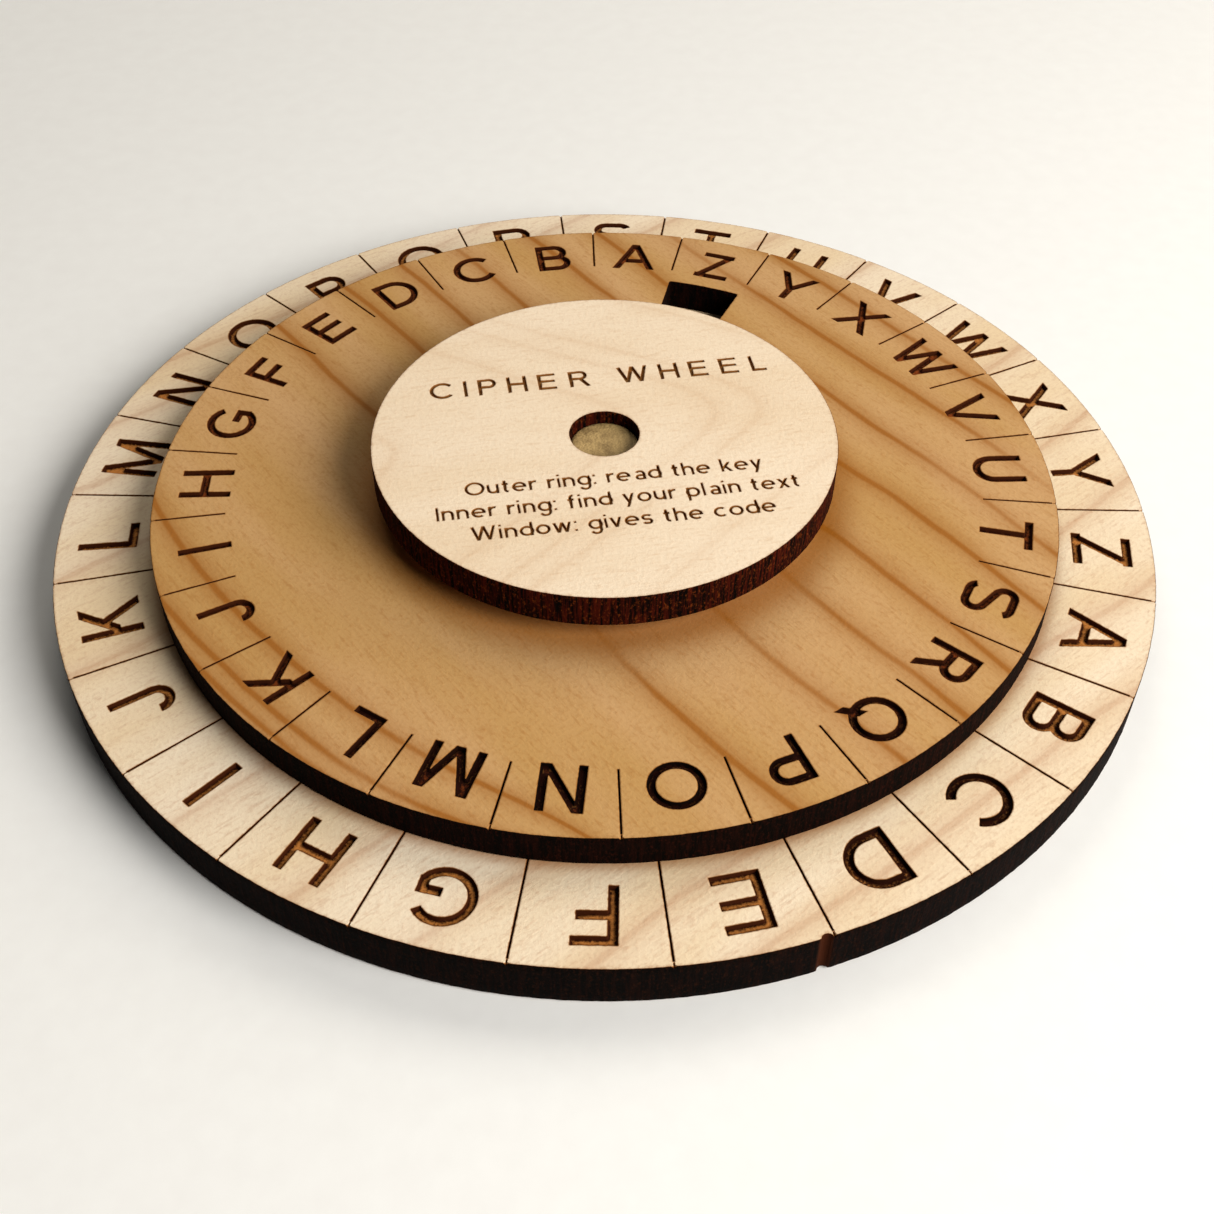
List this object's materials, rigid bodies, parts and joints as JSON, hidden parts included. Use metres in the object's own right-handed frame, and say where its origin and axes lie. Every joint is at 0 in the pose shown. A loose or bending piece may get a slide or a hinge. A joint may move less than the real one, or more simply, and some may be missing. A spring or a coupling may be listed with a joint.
{
  "type": "cipher wheel",
  "caption": "Wooden cipher wheel: a lettered wheel with a window turns freely on a dowel between a lettered base disc and a fixed hub disc.",
  "frame": {"origin": "centre of the base disc's underside, on the dowel's axis", "axes": "+Z along the dowel from the base disc to the hub disc; +X to the right of a reader who looks along +Y"},
  "size_m": [0.1016, 0.1016, 0.0128],
  "materials": {
    "base_maple": "sanded pale maple with charred laser-cut edges and letters",
    "wheel_maple": "sanded darker maple with reddish grain and charred laser-cut edges and letters",
    "hub_maple": "sanded cream maple with charred laser-cut edge and brown engraved wording",
    "dowel_birch": "end grain of a sawn hardwood dowel"
  },
  "bodies": {
    "base": {"outer_wheel": "base_maple", "axle_dowel": "dowel_birch", "hub_disc": "hub_maple"},
    "wheel": {"inner_wheel": "wheel_maple"}
  },
  "joints": [
    {"name": "wheel_spin", "type": "hinge", "parent": "base", "child": "wheel", "pos_m": [0, 0, 0.0061], "axis": [0, 0, 1], "continuous": true}
  ]
}
